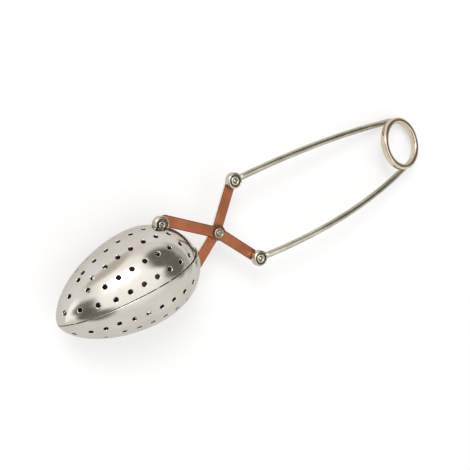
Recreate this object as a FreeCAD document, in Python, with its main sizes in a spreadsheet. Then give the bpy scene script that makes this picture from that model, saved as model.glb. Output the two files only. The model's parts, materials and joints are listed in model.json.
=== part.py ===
import FreeCAD, Part
import math
import os
import Sketcher
from FreeCAD import Placement, Rotation, Vector

# Tea infuser: a perforated egg of two half shells, carried by two crossed levers
# that a spring wire handle with a finger ring holds shut.
#
# Working frame, millimetres: the origin is the centre rivet, +X runs along the
# handle to the finger ring, +Y is the side of the upper shell, and +Z is the
# axis of every rivet.  At the end the whole assembly is tilted about Y so that
# the egg and the handle's ring end rest on the plane z = 0.

doc = FreeCAD.newDocument("tea_infuser")

# ---------------------------------------------------------------- dimensions
DIMENSIONS = [
    # levers
    ("lever_width", 4.3),
    ("lever_thickness", 1.3),
    ("lever_gap", 0.3),
    ("lever_boss_radius", 3.0),
    ("front_arm", 23.3),
    ("front_arm_angle", 34.5),
    ("rear_arm", 20.57),
    ("rear_arm_angle", 51.3),
    # egg
    ("egg_length", 58.0),
    ("egg_radius", 17.75),
    ("egg_setback", 11.6),
    ("egg_skew", 4.3),
    ("lower_shell_overhang", 0.9),
    ("shell_wall", 0.6),
    ("seam_gap", 0.3),
    ("hole_radius", 0.85),
    ("lug_station", 48.5),
    ("lug_offset", 0.4),
    ("lug_clearance", 5.4),
    # eyes, lugs and rivets
    ("eye_radius", 3.1),
    ("eye_height", 2.6),
    ("eye_recess_radius", 2.35),
    ("eye_recess_depth", 0.7),
    ("rivet_radius", 0.9),
    ("rivet_head_radius", 1.75),
    ("rivet_head_height", 0.6),
    ("rivet_tail_radius", 1.6),
    ("front_head_radius", 1.3),
    ("centre_rivet_radius", 1.2),
    ("centre_head_radius", 2.05),
    ("running_clearance", 0.06),
    ("open_pivot_clearance", 0.45),
    ("face_clearance", 0.1),
    # handle
    ("wire_radius", 1.25),
    ("ring_distance", 94.5),
    ("ring_radius", 9.9),
    ("ring_radial", 2.4),
    ("ring_height", 3.0),
    ("ring_corner", 0.8),
    ("ring_pitch", 13.0),
    ("ring_roll", -8.0),
    ("ring_clearance", 0.2),
    ("upper_leg_reach", 10.1),
    ("upper_leg_wrap", 11.6),
    ("upper_leg_tail", 14.0),
    ("lower_leg_reach", 10.9),
    ("lower_leg_wrap", 9.2),
    ("lower_leg_tail", 4.0),
]
SIZE = dict(DIMENSIONS)

sheet = doc.addObject("Spreadsheet::Sheet", "dims")
for row, (alias, value) in enumerate(DIMENSIONS, start=1):
    sheet.set("A%d" % row, alias)
    sheet.set("B%d" % row, str(value))
    sheet.setAlias("B%d" % row, alias)
doc.recompute()

# Heights along Z of the stacked levers, eyes and ring.
UPPER_FACE_FRONT = SIZE["lever_gap"] / 2 + SIZE["lever_thickness"]
UPPER_FACE_BACK = -SIZE["lever_gap"] / 2
EYE_MIDDLE = SIZE["face_clearance"] + SIZE["eye_height"] / 2
LEG_DEPTH_AT_RING = -SIZE["wire_radius"] - SIZE["ring_clearance"]

# Shape of the egg's outline: how much fuller its blunt end is, how flat its flanks
# are, how pointed its tip is, and the largest value that these three give.
EGG_TAPER = 0.192
EGG_BLUNTNESS = 0.082
EGG_POINT = 1.32
EGG_FULLEST = 0.937
TIP_X = -(SIZE["egg_setback"] + SIZE["egg_length"])

# Rows of holes along each half shell: number of rows, angle of the first row from
# the seam, first station, pitch, how far odd rows are shifted, and the rings at the
# tip as (station, number of holes, angle of the first one from the seam).
HOLES_PER_ROW = 7
ROW_FORWARD = 3.4
UPPER_HOLES = (8, 12.0, 18.3, 5.35, 0.0, [(3.0, 2, 50.0), (7.0, 4, 26.0), (12.4, 6, 17.0)])
LOWER_HOLES = (7, 25.0, 17.0, 5.15, 2.6, [(3.0, 2, 53.0), (7.4, 4, 33.0), (11.9, 5, 29.0)])

nodes = []


def polar(radius, degrees, height=0.0):
    """Point at a radius and an angle about the centre rivet."""
    angle = math.radians(degrees)
    return Vector(radius * math.cos(angle), radius * math.sin(angle), height)


def egg_profile(azimuth):
    """Radius of the egg against its largest; azimuth runs from 0 at the tip to pi."""
    swell = 1 - EGG_TAPER * math.cos(azimuth) + EGG_BLUNTNESS * math.cos(2 * azimuth)
    return math.sin(azimuth) ** EGG_POINT * swell / EGG_FULLEST


def egg_point(azimuth, length, radius):
    """Axial distance from the tip and radius of one point of the outline."""
    return length * (1 - math.cos(azimuth)) / 2, radius * egg_profile(azimuth)


def egg_normal(azimuth, length, radius):
    """Outward normal of the outline, as its axial and radial parts."""
    step = 0.01
    before = egg_point(azimuth - step, length, radius)
    after = egg_point(azimuth + step, length, radius)
    slope = math.atan2(after[1] - before[1], after[0] - before[0])
    return -math.sin(slope), math.cos(slope)


def skewed(point):
    """Turn a point about the centre rivet from the egg's own axes to the working frame."""
    return Rotation(Vector(0, 0, 1), SIZE["egg_skew"]).multVec(point)


def lug_point(side):
    """Centre of a front lug, a little outside the egg; side is 1 above, -1 below the seam."""
    length, radius = SIZE["egg_length"], SIZE["egg_radius"]
    azimuth = math.acos(1 - 2 * SIZE["lug_station"] / length)
    along, out = egg_point(azimuth, length, radius)
    axial, radial = egg_normal(azimuth, length, radius)
    x = TIP_X + along + axial * SIZE["lug_offset"]
    return skewed(Vector(x, side * (out + radial * SIZE["lug_offset"]), 0))


# The joints round the centre rivet, and the bends of the levers' front arms.
UPPER_FRONT = lug_point(1)
LOWER_FRONT = lug_point(-1)
UPPER_BEND = polar(SIZE["front_arm"], 180 - SIZE["front_arm_angle"])
LOWER_BEND = polar(SIZE["front_arm"], 180 + SIZE["front_arm_angle"])
UPPER_REAR = polar(SIZE["rear_arm"], SIZE["rear_arm_angle"])
LOWER_REAR = polar(SIZE["rear_arm"], -SIZE["rear_arm_angle"])


def register(feature, label):
    """Name a finished sub-part and keep it for export."""
    feature.Label = label
    nodes.append(feature)
    return feature


# ------------------------------------------------------------------- levers
def origin_plane(body, role):
    return next(item for item in body.Origin.OriginFeatures if item.Role == role)


def new_sketch(body, name, start, turn, height):
    """Sketch parallel to the body's XY plane, with its origin over a point and turned about Z."""
    sketch = body.newObject("Sketcher::SketchObject", name)
    sketch.AttachmentSupport = [(origin_plane(body, "XY_Plane"), "")]
    sketch.MapMode = "FlatFace"
    there = Vector(start.x, start.y, height)
    sketch.AttachmentOffset = Placement(there, Rotation(Vector(0, 0, 1), turn))
    return sketch


def pad(body, sketch, name):
    """Pad a sketch by the lever thickness."""
    feature = body.newObject("PartDesign::Pad", name)
    feature.Profile = sketch
    feature.setExpression("Length", "dims.lever_thickness")
    doc.recompute()
    return feature


def arm_sketch(body, name, start, finish, height, length_alias=None):
    """Stadium outline from one point to another, its length bound to the sheet if it has an alias."""
    length = start.distanceToPoint(finish)
    turn = math.degrees(math.atan2(finish.y - start.y, finish.x - start.x))
    half = SIZE["lever_width"] / 2
    sketch = new_sketch(body, name, start, turn, height)
    near = Part.ArcOfCircle(Part.Circle(Vector(), Vector(0, 0, 1), half), math.pi / 2, 3 * math.pi / 2)
    far_circle = Part.Circle(Vector(length, 0, 0), Vector(0, 0, 1), half)
    far = Part.ArcOfCircle(far_circle, -math.pi / 2, math.pi / 2)
    near_arc = sketch.addGeometry(near, False)
    low_line = sketch.addGeometry(Part.LineSegment(Vector(0, -half, 0), Vector(length, -half, 0)), False)
    far_arc = sketch.addGeometry(far, False)
    top_line = sketch.addGeometry(Part.LineSegment(Vector(length, half, 0), Vector(0, half, 0)), False)
    first_end, last_end, middle = 1, 2, 3
    joins = [
        (near_arc, last_end, low_line, first_end),
        (low_line, last_end, far_arc, first_end),
        (far_arc, last_end, top_line, first_end),
        (top_line, last_end, near_arc, first_end),
    ]
    for one, one_end, other, other_end in joins:
        sketch.addConstraint(Sketcher.Constraint("Tangent", one, one_end, other, other_end))
    sketch.addConstraint(Sketcher.Constraint("Coincident", near_arc, middle, -1, 1))
    sketch.addConstraint(Sketcher.Constraint("PointOnObject", far_arc, middle, -1))
    reach = sketch.addConstraint(Sketcher.Constraint("DistanceX", -1, 1, far_arc, middle, length))
    radius = sketch.addConstraint(Sketcher.Constraint("Radius", near_arc, half))
    if length_alias:
        sketch.setExpression("Constraints[%d]" % reach, "dims." + length_alias)
    sketch.setExpression("Constraints[%d]" % radius, "dims.lever_width / 2")
    return sketch


def circle_sketch(body, name, centre, radius_expression, radius, height):
    """One circle round a joint, its radius bound to the sheet."""
    sketch = new_sketch(body, name, Vector(), 0.0, height)
    ring = sketch.addGeometry(Part.Circle(centre, Vector(0, 0, 1), radius), False)
    sketch.addConstraint(Sketcher.Constraint("DistanceX", -1, 1, ring, 3, centre.x))
    sketch.addConstraint(Sketcher.Constraint("DistanceY", -1, 1, ring, 3, centre.y))
    size = sketch.addConstraint(Sketcher.Constraint("Radius", ring, radius))
    sketch.setExpression("Constraints[%d]" % size, radius_expression)
    return sketch


def lever(name, bend, lug, rear, height, bores):
    """Flat cranked lever: its arms, a round boss at the centre and its bores."""
    body = doc.addObject("PartDesign::Body", name)
    arms = [
        ("front", Vector(), bend, "front_arm"),
        ("crank", bend, lug, None),
        ("rear", Vector(), rear, "rear_arm"),
    ]
    for part, start, finish, alias in arms:
        sketch = arm_sketch(body, "%s_%s" % (name, part), start, finish, height, alias)
        pad(body, sketch, "%s_%s_pad" % (name, part))
    boss = circle_sketch(
        body, name + "_boss", Vector(), "dims.lever_boss_radius", SIZE["lever_boss_radius"], height
    )
    pad(body, boss, name + "_boss_pad")
    for index, (centre, expression, radius) in enumerate(bores):
        sketch = circle_sketch(body, "%s_bore_%d" % (name, index), centre, expression, radius, height)
        before = body.Shape.Volume
        pocket = body.newObject("PartDesign::Pocket", "%s_pocket_%d" % (name, index))
        pocket.Profile = sketch
        pocket.Type = "ThroughAll"
        pocket.Midplane = True
        doc.recompute()
        if body.Shape.Volume >= before:
            raise RuntimeError(name + ": a bore removed nothing")
    return body


# ---------------------------------------------------------------------- egg
def egg_solid(length, radius, inset):
    """Solid of revolution about the local X axis, shrunk by an inset, tip at -X."""
    steps = 26
    outline = [Vector(TIP_X + inset, 0, 0)]
    for step in range(1, steps):
        azimuth = math.pi * step / steps
        along, out = egg_point(azimuth, length - 2 * inset, radius - inset)
        outline.append(Vector(TIP_X + inset + along, out, 0))
    outline.append(Vector(TIP_X + length - inset, 0, 0))
    curve = Part.BSplineCurve()
    curve.interpolate(Points=outline, InitialTangent=Vector(0, 1, 0), FinalTangent=Vector(0, -1, 0))
    axis = Part.LineSegment(outline[-1], outline[0])
    face = Part.Face(Part.Wire([curve.toShape(), axis.toShape()]))
    solid = face.revolve(Vector(), Vector(1, 0, 0), 360)
    solid.rotate(Vector(), Vector(0, 0, 1), SIZE["egg_skew"])
    return solid


def hole_stations(upper):
    """Axial distance from the tip and angle from the seam of every hole."""
    rows, first_angle, first_station, pitch, stagger, tip_rings = UPPER_HOLES if upper else LOWER_HOLES
    stations = []
    for station, number, edge_angle in tip_rings:
        for index in range(number):
            angle = edge_angle + (180 - 2 * edge_angle) * index / (number - 1)
            stations.append((station, angle))
    for row in range(rows):
        angle = first_angle + (180 - 2 * first_angle) * row / (rows - 1)
        forward = ROW_FORWARD * math.sin(math.radians(angle)) ** 2
        shift = stagger if row % 2 else 0.0
        for index in range(HOLES_PER_ROW):
            stations.append((first_station + pitch * index - forward + shift, angle))
    return stations


def hole_cutters(upper, length, joint):
    """Pins that stand square to the shell at each hole, clear of the lug."""
    side = 1 if upper else -1
    cutters = []
    for station, degrees in hole_stations(upper):
        azimuth = math.acos(1 - 2 * station / length)
        along, out = egg_point(azimuth, length, SIZE["egg_radius"])
        axial, radial = egg_normal(azimuth, length, SIZE["egg_radius"])
        angle = math.radians(degrees)
        spoke = Vector(0, side * math.sin(angle), math.cos(angle))
        normal = Vector(axial, 0, 0) + spoke * radial
        point = Vector(TIP_X + along, 0, 0) + spoke * out
        if skewed(point).distanceToPoint(joint) > SIZE["lug_clearance"]:
            depth = 4 * SIZE["shell_wall"]
            pin = Part.makeCylinder(SIZE["hole_radius"], 2 * depth, point - normal * depth, normal)
            pin.rotate(Vector(), Vector(0, 0, 1), SIZE["egg_skew"])
            cutters.append(pin)
    return cutters


def half_space(upper):
    """Block that holds one side of the seam, less half the seam gap."""
    big = 100
    low = SIZE["seam_gap"] / 2 if upper else -SIZE["seam_gap"] / 2 - big
    block = Part.makeBox(2 * big, big, 2 * big, Vector(-2 * big + 20, low, -big))
    block.rotate(Vector(), Vector(0, 0, 1), SIZE["egg_skew"])
    return block


def shell(name, upper, joint):
    """Perforated half shell of constant wall."""
    length = SIZE["egg_length"] if upper else SIZE["egg_length"] + SIZE["lower_shell_overhang"]
    outer = egg_solid(length, SIZE["egg_radius"], 0.0)
    inner = egg_solid(length, SIZE["egg_radius"], SIZE["shell_wall"])
    half = outer.cut(inner).common(half_space(upper))
    half = half.cut(hole_cutters(upper, length, joint))
    feature = doc.addObject("Part::Feature", name)
    feature.Shape = half.Solids[0]
    return register(feature, name), outer


upper_shell, upper_egg = shell("upper_shell", True, UPPER_FRONT)
lower_shell, lower_egg = shell("lower_shell", False, LOWER_FRONT)


# ------------------------------------------- levers, trimmed round the shells
def egg_tool(name, solid):
    tool = doc.addObject("Part::Feature", name)
    tool.Shape = solid
    return tool


def trimmed(label, blank, egg):
    """Cut a blank where the egg's outer surface passes through it."""
    cut = doc.addObject("Part::Cut", label)
    cut.Base = blank
    cut.Tool = egg
    return register(cut, label)


upper_tool = egg_tool("upper_egg_form", upper_egg)
lower_tool = egg_tool("lower_egg_form", lower_egg)

RIVET_BORE = ("dims.rivet_radius", SIZE["rivet_radius"])
CENTRE_FIT = ("dims.centre_rivet_radius", SIZE["centre_rivet_radius"])
CENTRE_RUNNING = (
    "dims.centre_rivet_radius + dims.running_clearance",
    SIZE["centre_rivet_radius"] + SIZE["running_clearance"],
)
front_blank = lever(
    "front_lever_blank",
    UPPER_BEND,
    UPPER_FRONT,
    LOWER_REAR,
    SIZE["lever_gap"] / 2,
    [(Vector(),) + CENTRE_RUNNING, (UPPER_FRONT,) + RIVET_BORE, (LOWER_REAR,) + RIVET_BORE],
)
back_blank = lever(
    "back_lever_blank",
    LOWER_BEND,
    LOWER_FRONT,
    UPPER_REAR,
    -SIZE["lever_gap"] / 2 - SIZE["lever_thickness"],
    [(Vector(),) + CENTRE_FIT, (LOWER_FRONT,) + RIVET_BORE, (UPPER_REAR,) + RIVET_BORE],
)
trimmed("front_lever", front_blank, upper_tool)
trimmed("back_lever", back_blank, lower_tool)


# --------------------------------------------------- turned and riveted parts
def cylinder(name, at, radius_expression, height_expression):
    """Part cylinder along Z, its radius and height bound to the sheet."""
    solid = doc.addObject("Part::Cylinder", name)
    solid.setExpression("Radius", radius_expression)
    solid.setExpression("Height", height_expression)
    solid.Placement = Placement(at, Rotation())
    return solid


def fused(name, parts):
    union = doc.addObject("Part::MultiFuse", name)
    union.Shapes = parts
    return union


def eye(name, at, face_height, bore_expression, downwards=False):
    """Thick turned washer on a lever's face, with a bore and a recess for the rivet head."""
    low = Vector(at.x, at.y, face_height - SIZE["eye_height"] if downwards else face_height)
    recess_rise = 0 if downwards else SIZE["eye_height"] - SIZE["eye_recess_depth"]
    recess_low = low + Vector(0, 0, recess_rise)
    blank = cylinder(name + "_blank", low, "dims.eye_radius", "dims.eye_height")
    bore = cylinder(name + "_bore", low, bore_expression, "dims.eye_height")
    recess = cylinder(name + "_recess", recess_low, "dims.eye_recess_radius", "dims.eye_recess_depth")
    cut = doc.addObject("Part::Cut", name)
    cut.Base = blank
    cut.Tool = fused(name + "_cutter", [bore, recess])
    return cut


def rivet(label, at, low, high, radius, head_radius, tail_radius):
    """Shaft from low to high, with a head above it and a tail below it if they have a radius."""
    parts = [cylinder(label + "_shaft", Vector(at.x, at.y, low), radius, "%f" % (high - low))]
    if head_radius:
        head_low = Vector(at.x, at.y, high)
        parts.append(cylinder(label + "_head", head_low, head_radius, "dims.rivet_head_height"))
    if tail_radius:
        tail_low = Vector(at.x, at.y, low - SIZE["rivet_head_height"])
        parts.append(cylinder(label + "_tail", tail_low, tail_radius, "dims.rivet_head_height"))
    return fused(label, parts)


upper_lug_blank = eye("upper_shell_lug_blank", UPPER_FRONT, UPPER_FACE_FRONT, "dims.rivet_radius")
BACK_LOWER_FACE = UPPER_FACE_BACK - SIZE["lever_thickness"]
lower_lug_blank = eye("lower_shell_lug_blank", LOWER_FRONT, BACK_LOWER_FACE, "dims.rivet_radius", True)
trimmed("upper_shell_lug", upper_lug_blank, upper_tool)
trimmed("lower_shell_lug", lower_lug_blank, lower_tool)

upper_eye_base = UPPER_FACE_BACK + SIZE["face_clearance"]
lower_eye_base = UPPER_FACE_FRONT + SIZE["face_clearance"]
running_bore = "dims.rivet_radius + dims.running_clearance"
loose_bore = "dims.rivet_radius + dims.open_pivot_clearance"
register(eye("upper_leg_eye", UPPER_REAR, upper_eye_base, running_bore), "upper_leg_eye")
register(eye("lower_leg_eye", LOWER_REAR, lower_eye_base, loose_bore), "lower_leg_eye")

LUG_FLOOR = SIZE["eye_height"] - SIZE["eye_recess_depth"]
FRONT_LOWER_FACE = SIZE["lever_gap"] / 2
upper_front_blank = rivet(
    "upper_front_rivet_blank", UPPER_FRONT, FRONT_LOWER_FACE, UPPER_FACE_FRONT + LUG_FLOOR,
    "dims.rivet_radius", "dims.front_head_radius", None,
)
lower_front_blank = rivet(
    "lower_front_rivet_blank", LOWER_FRONT, BACK_LOWER_FACE - LUG_FLOOR, UPPER_FACE_BACK,
    "dims.rivet_radius", None, "dims.front_head_radius",
)
trimmed("upper_front_rivet", upper_front_blank, upper_tool)
trimmed("lower_front_rivet", lower_front_blank, lower_tool)

EYE_FLOOR = LUG_FLOOR + 2 * SIZE["face_clearance"]
REAR_RIVETS = [
    ("upper_rear_rivet", UPPER_REAR, BACK_LOWER_FACE, UPPER_FACE_BACK + EYE_FLOOR),
    ("lower_rear_rivet", LOWER_REAR, FRONT_LOWER_FACE, UPPER_FACE_FRONT + EYE_FLOOR),
]
for label, at, low, high in REAR_RIVETS:
    whole = rivet(
        label, at, low, high, "dims.rivet_radius",
        "dims.rivet_head_radius", "dims.rivet_tail_radius",
    )
    register(whole, label)

centre_high = UPPER_FACE_FRONT + SIZE["face_clearance"]
centre_rivet = rivet(
    "centre_rivet", Vector(), BACK_LOWER_FACE, centre_high, "dims.centre_rivet_radius",
    "dims.centre_head_radius", "dims.centre_head_radius",
)
register(centre_rivet, "centre_rivet")

washer_low = Vector(0, 0, -SIZE["lever_gap"] / 2)
washer_blank = cylinder("washer_blank", washer_low, "dims.lever_boss_radius", "dims.lever_gap / 2")
washer_bore = cylinder("washer_bore", washer_low, "dims.centre_rivet_radius", "dims.lever_gap / 2")
washer = doc.addObject("Part::Cut", "centre_washer")
washer.Base = washer_blank
washer.Tool = washer_bore
register(washer, "centre_washer")


# ------------------------------------------------------------------- handle
RING_TURN = Rotation(Vector(0, 1, 0), SIZE["ring_pitch"]) * Rotation(Vector(1, 0, 0), SIZE["ring_roll"])
RING_FRAME = Placement(Vector(SIZE["ring_distance"], 0, 0), RING_TURN)


def ring_point(leg, degrees):
    """Point of a leg's centre line where it follows the back of the ring."""
    return RING_FRAME.multVec(polar(SIZE[leg + "_reach"], degrees, LEG_DEPTH_AT_RING))


def tangent_arc(start, direction, finish):
    """Arc that leaves start along direction and passes through finish."""
    chord = finish - start
    chord_unit = Vector(chord).normalize()
    bend = direction.getAngle(chord)
    side = direction - chord_unit * direction.dot(chord_unit)
    side.normalize()
    middle = start + chord * 0.5 + side * (chord.Length / 2 * math.tan(bend / 2))
    return Part.Arc(start, middle, finish)


def bent_wire(arc):
    """Round wire along an arc."""
    edge = arc.toShape()
    start = edge.valueAt(edge.FirstParameter)
    tangent = edge.tangentAt(edge.FirstParameter)
    disc = Part.Face(Part.Wire([Part.Circle(start, tangent, SIZE["wire_radius"]).toShape()]))
    sweep = math.degrees(edge.LastParameter - edge.FirstParameter)
    return disc.revolve(edge.Curve.Center, edge.Curve.Axis, sweep)


def wire_leg(name, joint, height, side):
    """Bowed wire from its eye to the ring, whose back it follows a little way."""
    wrap = SIZE[name + "_wrap"]
    start_angle = side * (90 - wrap)
    end_angle = side * (90 - wrap - SIZE[name + "_tail"])
    touch = ring_point(name, start_angle)
    slope = math.radians(wrap)
    direction = RING_TURN.multVec(Vector(-math.cos(slope), side * math.sin(slope), 0))
    centre = Vector(joint.x, joint.y, height)
    leg = bent_wire(tangent_arc(touch, direction, centre))
    halfway = ring_point(name, (start_angle + end_angle) / 2)
    tail = bent_wire(Part.Arc(touch, halfway, ring_point(name, end_angle)))
    eye_low = centre - Vector(0, 0, 2 * SIZE["eye_height"])
    eye_blank = Part.makeCylinder(SIZE["eye_radius"], 4 * SIZE["eye_height"], eye_low)
    feature = doc.addObject("Part::Feature", name)
    feature.Shape = leg.fuse(tail).cut(eye_blank).Solids[0]
    return register(feature, name)


UPPER_EYE_HEIGHT = UPPER_FACE_BACK + EYE_MIDDLE
LOWER_EYE_HEIGHT = UPPER_FACE_FRONT + EYE_MIDDLE
wire_leg("upper_leg", UPPER_REAR, UPPER_EYE_HEIGHT, 1)
wire_leg("lower_leg", LOWER_REAR, LOWER_EYE_HEIGHT, -1)


def finger_ring():
    """Ring of rounded rectangular section, turned about its own centre."""
    body = doc.addObject("PartDesign::Body", "finger_ring")
    sketch = body.newObject("Sketcher::SketchObject", "ring_section")
    sketch.AttachmentSupport = [(origin_plane(body, "XZ_Plane"), "")]
    sketch.MapMode = "FlatFace"
    half = SIZE["ring_radial"] / 2
    left = SIZE["ring_radius"] - half
    right = SIZE["ring_radius"] + half
    top = SIZE["ring_height"]
    corners = [Vector(left, 0, 0), Vector(right, 0, 0), Vector(right, top, 0), Vector(left, top, 0)]
    for index in range(4):
        sketch.addGeometry(Part.LineSegment(corners[index], corners[(index + 1) % 4]), False)
    for index in range(4):
        sketch.addConstraint(Sketcher.Constraint("Coincident", index, 2, (index + 1) % 4, 1))
    for index in (0, 2):
        sketch.addConstraint(Sketcher.Constraint("Horizontal", index))
        sketch.addConstraint(Sketcher.Constraint("Vertical", index + 1))
    sketch.addConstraint(Sketcher.Constraint("DistanceY", -1, 1, 0, 1, 0.0))
    inner = sketch.addConstraint(Sketcher.Constraint("DistanceX", -1, 1, 0, 1, left))
    radial = sketch.addConstraint(Sketcher.Constraint("DistanceX", 0, 1, 0, 2, SIZE["ring_radial"]))
    height = sketch.addConstraint(Sketcher.Constraint("DistanceY", 1, 1, 1, 2, top))
    sketch.setExpression("Constraints[%d]" % inner, "dims.ring_radius - dims.ring_radial / 2")
    sketch.setExpression("Constraints[%d]" % radial, "dims.ring_radial")
    sketch.setExpression("Constraints[%d]" % height, "dims.ring_height")
    turn = body.newObject("PartDesign::Revolution", "ring_turn")
    turn.Profile = sketch
    turn.ReferenceAxis = (sketch, ["V_Axis"])
    turn.Angle = 360
    doc.recompute()
    rounding = body.newObject("PartDesign::Fillet", "ring_rounding")
    rounding.Base = (turn, ["Edge%d" % (i + 1) for i in range(len(turn.Shape.Edges))])
    rounding.setExpression("Radius", "dims.ring_corner")
    doc.recompute()
    return register(body, "finger_ring")


ring = finger_ring()


# -------------------------------------------------------------- resting pose
def lowest_egg(tilt):
    """Height of the egg's lowest point under the centre rivet, at a tilt."""
    steps = 400
    heights = []
    for step in range(1, steps):
        along, out = egg_point(math.pi * step / steps, SIZE["egg_length"], SIZE["egg_radius"])
        heights.append(-(TIP_X + along) * math.sin(tilt) - out * math.cos(tilt))
    return min(heights)


def lowest_handle(tilt):
    """Height of the lowest point of the ring and of the wires behind it, at a tilt."""
    corner = SIZE["ring_corner"]
    rim = SIZE["ring_radius"] + SIZE["ring_radial"] / 2 - corner
    heights = []
    for degrees in range(-90, 91):
        edge = RING_FRAME.multVec(polar(rim, degrees, corner))
        heights.append(-edge.x * math.sin(tilt) + edge.z * math.cos(tilt) - corner)
    for name, side in (("upper_leg", 1), ("lower_leg", -1)):
        end = ring_point(name, side * (90 - SIZE[name + "_wrap"] - SIZE[name + "_tail"]))
        heights.append(-end.x * math.sin(tilt) + end.z * math.cos(tilt) - SIZE["wire_radius"])
    return min(heights)


def rest_tilt():
    """Tilt at which the egg and the handle touch the same level plane."""
    low, high = 0.0, 0.5
    for _ in range(40):
        middle = (low + high) / 2
        if lowest_handle(middle) > lowest_egg(middle):
            low = middle
        else:
            high = middle
    return low


doc.recompute()
tilt = rest_tilt()
turn = Rotation(Vector(0, 1, 0), math.degrees(tilt))
box = FreeCAD.BoundBox()
for node in nodes:
    shape = node.Shape.copy()
    local = Placement(Vector(0, 0, 0), turn)
    if node is ring:
        local = local.multiply(RING_FRAME)
    shape.Placement = local.multiply(shape.Placement)
    box.add(shape.optimalBoundingBox(False, False))
shift = Vector(-box.Center.x, -box.Center.y, -box.ZMin)
REST = Placement(shift, turn)

for node in nodes:
    place = REST
    if node is ring:
        place = REST.multiply(RING_FRAME)
    node.Placement = place
doc.recompute()

# ---------------------------------------------------------- checks and export
for item in doc.Objects:
    if "Invalid" in item.State or "Error" in item.State:
        raise RuntimeError("%s did not recompute: %s" % (item.Label, item.State))
os.makedirs("parts", exist_ok=True)
for node in nodes:
    if node.Shape.isNull() or not node.Shape.isValid():
        raise RuntimeError(node.Label + " has no valid shape")
    node.Shape.exportStep("parts/%s.step" % node.Label)
    print("%-18s solids %d volume %.1f" % (node.Label, len(node.Shape.Solids), node.Shape.Volume))

PIVOTS = [
    ("centre", Vector()),
    ("upper rear", UPPER_REAR),
    ("lower rear", LOWER_REAR),
    ("upper front", UPPER_FRONT),
    ("lower front", LOWER_FRONT),
    ("ring", Vector(SIZE["ring_distance"], 0, 0)),
]
for name, point in PIVOTS:
    there = REST.multVec(point)
    print("%-12s %.4f %.4f %.4f" % (name, there.x, there.y, there.z))
print("pivot axis", turn.multVec(Vector(0, 0, 1)), "tilt", math.degrees(tilt), "shift", shift)
print("ring axis", (turn * RING_TURN).multVec(Vector(0, 0, 1)))
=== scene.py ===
import json
import math

import bmesh
import bpy
import numpy as np
from mathutils import Matrix, Vector, noise
from mathutils.geometry import delaunay_2d_cdt


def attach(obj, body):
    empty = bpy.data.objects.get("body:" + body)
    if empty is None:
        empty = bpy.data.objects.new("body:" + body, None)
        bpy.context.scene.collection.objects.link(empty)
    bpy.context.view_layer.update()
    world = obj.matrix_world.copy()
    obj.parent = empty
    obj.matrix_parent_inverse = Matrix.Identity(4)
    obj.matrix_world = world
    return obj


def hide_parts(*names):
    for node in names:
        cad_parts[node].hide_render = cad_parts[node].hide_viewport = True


# Tea infuser: a perforated egg of two half shells on two crossed levers, with a
# spring wire handle and a finger ring.  Every visible piece is rebuilt here in
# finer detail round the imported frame.
#
# Lengths in this script are millimetres in the frame of the rivets: origin at
# the centre rivet, +X along the handle to the ring, +Y on the side of the upper
# shell, +Z along the rivets towards their heads.  LOCAL turns them into metres.

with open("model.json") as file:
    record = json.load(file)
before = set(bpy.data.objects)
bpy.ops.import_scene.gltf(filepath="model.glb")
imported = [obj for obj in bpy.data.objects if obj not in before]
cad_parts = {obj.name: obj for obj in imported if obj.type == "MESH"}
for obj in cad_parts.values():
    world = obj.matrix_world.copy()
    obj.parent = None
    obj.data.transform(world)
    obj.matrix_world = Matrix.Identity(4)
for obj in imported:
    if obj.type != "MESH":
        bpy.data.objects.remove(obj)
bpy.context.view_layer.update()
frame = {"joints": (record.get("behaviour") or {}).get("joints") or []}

# ---- frame of the rivets
MM = 0.001
JOINTS = {joint["name"]: joint for joint in frame["joints"]}
CENTRE = Vector(JOINTS["shell_opening"]["pos_m"])
RING_CENTRE = Vector(JOINTS["handle_flex"]["pos_m"])
UPPER_REAR_PIVOT = Vector(JOINTS["upper_leg_pivot"]["pos_m"])
RIVET_AXIS = -Vector(JOINTS["shell_opening"]["axis"])
HANDLE_AXIS = (RING_CENTRE - CENTRE).normalized()
SIDE_AXIS = RIVET_AXIS.cross(HANDLE_AXIS).normalized()
LOCAL = Matrix([HANDLE_AXIS, SIDE_AXIS, RIVET_AXIS]).transposed().to_4x4()
LOCAL = Matrix.Translation(CENTRE) @ LOCAL @ Matrix.Scale(MM, 4)
TO_LOCAL = LOCAL.inverted()

UPPER_REAR = TO_LOCAL @ UPPER_REAR_PIVOT
UPPER_REAR.z = 0
LOWER_REAR = Vector((UPPER_REAR.x, -UPPER_REAR.y, 0))
RING_DISTANCE = (TO_LOCAL @ RING_CENTRE).x

# ---- dimensions
LEVER_WIDTH = 4.3
LEVER_THICKNESS = 1.3
LEVER_GAP = 0.3
LEVER_BOSS = 3.0
LEVER_FILLET = 1.6
LEVER_BEVEL = 0.34
FRONT_ARM = 23.3
FRONT_ARM_ANGLE = math.radians(34.5)
EGG_LENGTH = 58.0
EGG_RADIUS = 17.75
EGG_SETBACK = 11.6
EGG_SKEW = math.radians(4.3)
# The egg's outline: how pointed its ends are, how far its fullness lies towards the
# blunt end, how flat its belly is, and what brings its largest radius to 1.
EGG_POINT = 1.32
EGG_LEAN = 0.192
EGG_BELLY = 0.082
EGG_PEAK = 0.937
OVERHANG = 0.9
WALL = 0.6
SEAM_GAP = 0.3
RIM_EDGE = 0.18
HOLE_RADIUS = 0.85
HOLE_EDGE = 0.26
HOLES_PER_ROW = 7
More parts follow.
